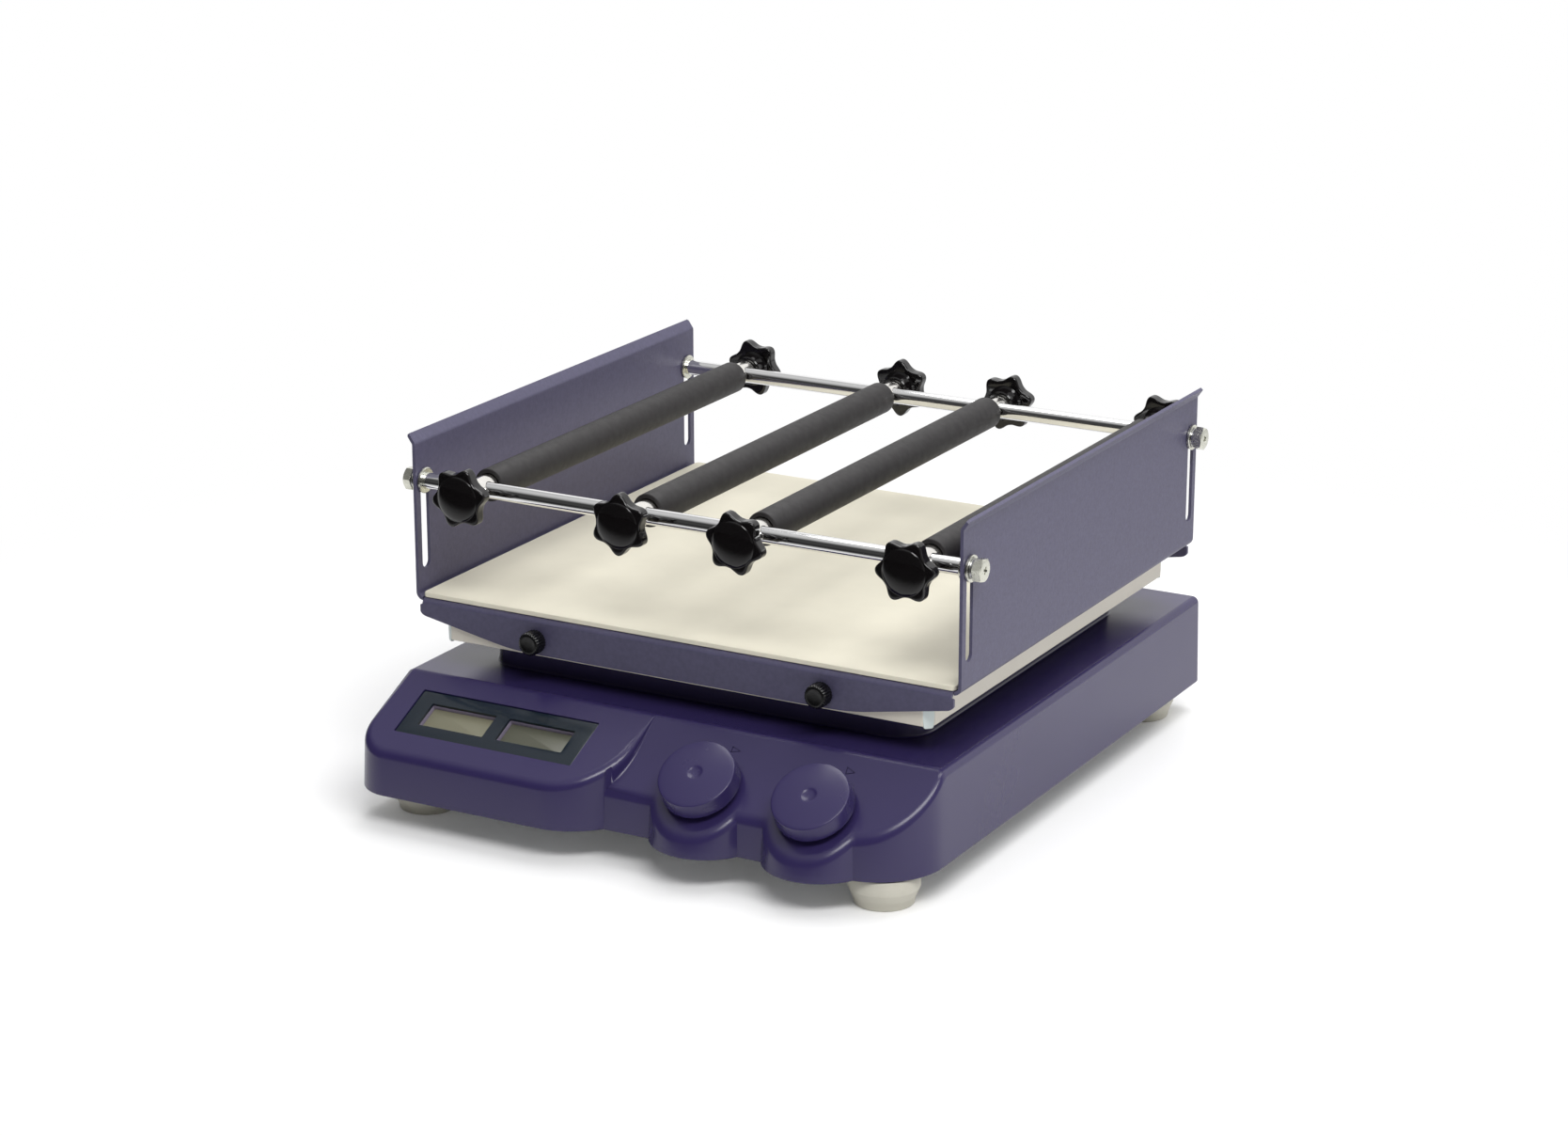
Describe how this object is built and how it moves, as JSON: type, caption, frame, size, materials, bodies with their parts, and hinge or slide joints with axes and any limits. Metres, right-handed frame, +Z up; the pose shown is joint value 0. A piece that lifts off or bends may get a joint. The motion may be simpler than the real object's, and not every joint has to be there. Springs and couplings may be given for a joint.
{
  "type": "rotator shaker",
  "caption": "Bench-top orbital shaker: sloping control panel with display and push-turn knobs, circling platform, side-walled tray with height-adjustable rods and foam clamp bars.",
  "frame": {"origin": "on the bench under the middle of the whole machine, with the platform at the rearmost point of its orbit", "axes": "+Z up, -Y towards the control panel and the user, +X to the user's right"},
  "size_m": [0.3898, 0.4352, 0.2221],
  "materials": {
    "housing": "satin moulded blue",
    "knobs": "satin moulded dark blue",
    "tray": "textured blue powder coat",
    "platform": "satin cream paint",
    "mat": "matt off-white",
    "feet": "matt light grey",
    "window": "dark tinted gloss",
    "display": "grey liquid crystal",
    "board": "green circuit board",
    "steel": "plain steel",
    "zinc": "zinc plated",
    "chrome": "polished chrome",
    "cast": "cast aluminium",
    "black": "gloss black",
    "belt": "matt black",
    "foam": "matt grey foam rubber"
  },
  "bodies": {
    "base": {"top_cover": "housing", "base_plate": "steel", "drive_frame": "cast", "foot_front_left": "feet", "foot_front_right": "feet", "foot_rear_left": "feet", "foot_rear_right": "feet", "display_window": "window", "display_module": "display", "control_board": "board", "speed_encoder": "steel", "time_encoder": "steel", "drive_motor": "black", "drive_belt": "belt", "main_bearing": "steel", "power_supply": "board", "power_inlet": "black", "switch_bezel": "black"},
    "crank": {"crank_shaft": "steel", "driven_pulley": "cast"},
    "motor_rotor": {"motor_pulley": "steel"},
    "speed_plunger": {"speed_plunger": "steel"},
    "speed_knob": {"speed_knob": "knobs"},
    "time_plunger": {"time_plunger": "steel"},
    "time_knob": {"time_knob": "knobs"},
    "power_rocker": {"power_rocker": "black"},
    "platform": {"platform": "platform", "pin_bearing": "steel", "tray": "tray", "mat": "mat"},
    "rods": {"rod_front": "chrome", "rod_rear": "chrome", "rod_screw_front_left": "zinc", "rod_screw_front_right": "zinc", "rod_screw_rear_left": "zinc", "rod_screw_rear_right": "zinc"},
    "idler_front_left": {"idler_crank_front_left": "steel"},
    "idler_rear_left": {"idler_crank_rear_left": "steel"},
    "idler_front_right": {"idler_crank_front_right": "steel"},
    "idler_rear_right": {"idler_crank_rear_right": "steel"},
    "thumb_front_left": {"thumb_screw_front_left": "black"},
    "thumb_front_right": {"thumb_screw_front_right": "black"},
    "thumb_rear_left": {"thumb_screw_rear_left": "black"},
    "thumb_rear_right": {"thumb_screw_rear_right": "black"},
    "bar_1": {"bar_core_1": "chrome", "bar_sleeve_1": "foam"},
    "star_front_1": {"star_knob_front_1": "black"},
    "star_rear_1": {"star_knob_rear_1": "black"},
    "bar_2": {"bar_core_2": "chrome", "bar_sleeve_2": "foam"},
    "star_front_2": {"star_knob_front_2": "black"},
    "star_rear_2": {"star_knob_rear_2": "black"},
    "bar_3": {"bar_core_3": "chrome", "bar_sleeve_3": "foam"},
    "star_front_3": {"star_knob_front_3": "black"},
    "star_rear_3": {"star_knob_rear_3": "black"},
    "bar_4": {"bar_core_4": "chrome", "bar_sleeve_4": "foam"},
    "star_front_4": {"star_knob_front_4": "black"},
    "star_rear_4": {"star_knob_rear_4": "black"}
  },
  "joints": [
    {"name": "crank_turn", "type": "hinge", "parent": "base", "child": "crank", "pos_m": [0, 0.02265, 0.0678], "axis": [0, 0, 1], "continuous": true},
    {"name": "platform_turn", "type": "hinge", "parent": "crank", "child": "platform", "pos_m": [0, 0.02765, 0.1033], "axis": [0, 0, 1], "continuous": true},
    {"name": "idler_turn_front_left", "type": "hinge", "parent": "base", "child": "idler_front_left", "pos_m": [-0.118, -0.08935, 0.0678], "axis": [0, 0, 1], "continuous": true},
    {"name": "idler_turn_rear_left", "type": "hinge", "parent": "base", "child": "idler_rear_left", "pos_m": [-0.118, 0.13465, 0.0678], "axis": [0, 0, 1], "continuous": true},
    {"name": "idler_turn_front_right", "type": "hinge", "parent": "base", "child": "idler_front_right", "pos_m": [0.118, -0.08935, 0.0678], "axis": [0, 0, 1], "continuous": true},
    {"name": "idler_turn_rear_right", "type": "hinge", "parent": "base", "child": "idler_rear_right", "pos_m": [0.118, 0.13465, 0.0678], "axis": [0, 0, 1], "continuous": true},
    {"name": "motor_turn", "type": "hinge", "parent": "base", "child": "motor_rotor", "pos_m": [-0.095, 0.02265, 0.0678], "axis": [0, 0, 1], "continuous": true},
    {"name": "speed_push", "type": "slide", "parent": "base", "child": "speed_plunger", "axis": [0, 0.5878, -0.809], "range_m": [0, 0.0015], "stiffness_N_per_m": 800, "springref_m": -0.002},
    {"name": "speed_turn", "type": "hinge", "parent": "speed_plunger", "child": "speed_knob", "pos_m": [0.0445, -0.18723, 0.05202], "axis": [0, -0.5878, 0.809], "continuous": true},
    {"name": "time_push", "type": "slide", "parent": "base", "child": "time_plunger", "axis": [0, 0.5878, -0.809], "range_m": [0, 0.0015], "stiffness_N_per_m": 800, "springref_m": -0.002},
    {"name": "time_turn", "type": "hinge", "parent": "time_plunger", "child": "time_knob", "pos_m": [0.119, -0.18723, 0.05202], "axis": [0, -0.5878, 0.809], "continuous": true},
    {"name": "power_rock", "type": "hinge", "parent": "base", "child": "power_rocker", "pos_m": [0.134, 0.21135, 0.046], "axis": [0, 0, 1], "range_deg": [0, 12]},
    {"name": "rods_height", "type": "slide", "parent": "platform", "child": "rods", "axis": [0, 0, 1], "range_m": [-0.051, 0]},
    {"name": "bar_1_slide", "type": "slide", "parent": "rods", "child": "bar_1", "axis": [1, 0, 0], "range_m": [-0.029, 0.036]},
    {"name": "star_front_1_turn", "type": "hinge", "parent": "bar_1", "child": "star_front_1", "pos_m": [-0.1425, -0.1397, 0.1905], "axis": [0, -1, 0], "range_deg": [0, 360]},
    {"name": "star_rear_1_turn", "type": "hinge", "parent": "bar_1", "child": "star_rear_1", "pos_m": [-0.1425, 0.195, 0.1905], "axis": [0, 1, 0], "range_deg": [0, 360]},
    {"name": "bar_2_slide", "type": "slide", "parent": "rods", "child": "bar_2", "axis": [1, 0, 0], "range_m": [-0.036, 0.019]},
    {"name": "star_front_2_turn", "type": "hinge", "parent": "bar_2", "child": "star_front_2", "pos_m": [-0.031, -0.1397, 0.1905], "axis": [0, -1, 0], "range_deg": [0, 360]},
    {"name": "star_rear_2_turn", "type": "hinge", "parent": "bar_2", "child": "star_rear_2", "pos_m": [-0.031, 0.195, 0.1905], "axis": [0, 1, 0], "range_deg": [0, 360]},
    {"name": "bar_3_slide", "type": "slide", "parent": "rods", "child": "bar_3", "axis": [1, 0, 0], "range_m": [-0.019, 0.035]},
    {"name": "star_front_3_turn", "type": "hinge", "parent": "bar_3", "child": "star_front_3", "pos_m": [0.0465, -0.1397, 0.1905], "axis": [0, -1, 0], "range_deg": [0, 360]},
    {"name": "star_rear_3_turn", "type": "hinge", "parent": "bar_3", "child": "star_rear_3", "pos_m": [0.0465, 0.195, 0.1905], "axis": [0, 1, 0], "range_deg": [0, 360]},
    {"name": "bar_4_slide", "type": "slide", "parent": "rods", "child": "bar_4", "axis": [1, 0, 0], "range_m": [-0.035, 0.015]},
    {"name": "star_front_4_turn", "type": "hinge", "parent": "bar_4", "child": "star_front_4", "pos_m": [0.1565, -0.1397, 0.1905], "axis": [0, -1, 0], "range_deg": [0, 360]},
    {"name": "star_rear_4_turn", "type": "hinge", "parent": "bar_4", "child": "star_rear_4", "pos_m": [0.1565, 0.195, 0.1905], "axis": [0, 1, 0], "range_deg": [0, 360]},
    {"name": "thumb_front_left_turn", "type": "hinge", "parent": "platform", "child": "thumb_front_left", "pos_m": [-0.0975, -0.1409, 0.105], "axis": [0, -1, 0], "range_deg": [0, 360]},
    {"name": "thumb_front_right_turn", "type": "hinge", "parent": "platform", "child": "thumb_front_right", "pos_m": [0.0975, -0.1409, 0.105], "axis": [0, -1, 0], "range_deg": [0, 360]},
    {"name": "thumb_rear_left_turn", "type": "hinge", "parent": "platform", "child": "thumb_rear_left", "pos_m": [-0.0975, 0.1962, 0.105], "axis": [0, 1, 0], "range_deg": [0, 360]},
    {"name": "thumb_rear_right_turn", "type": "hinge", "parent": "platform", "child": "thumb_rear_right", "pos_m": [0.0975, 0.1962, 0.105], "axis": [0, 1, 0], "range_deg": [0, 360]}
  ],
  "couplings": [
    {"joint": "platform_turn", "follows": "crank_turn", "ratio": -1},
    {"joint": "idler_turn_front_left", "follows": "crank_turn", "ratio": 1},
    {"joint": "idler_turn_rear_left", "follows": "crank_turn", "ratio": 1},
    {"joint": "idler_turn_front_right", "follows": "crank_turn", "ratio": 1},
    {"joint": "idler_turn_rear_right", "follows": "crank_turn", "ratio": 1},
    {"joint": "motor_turn", "follows": "crank_turn", "ratio": 4}
  ]
}
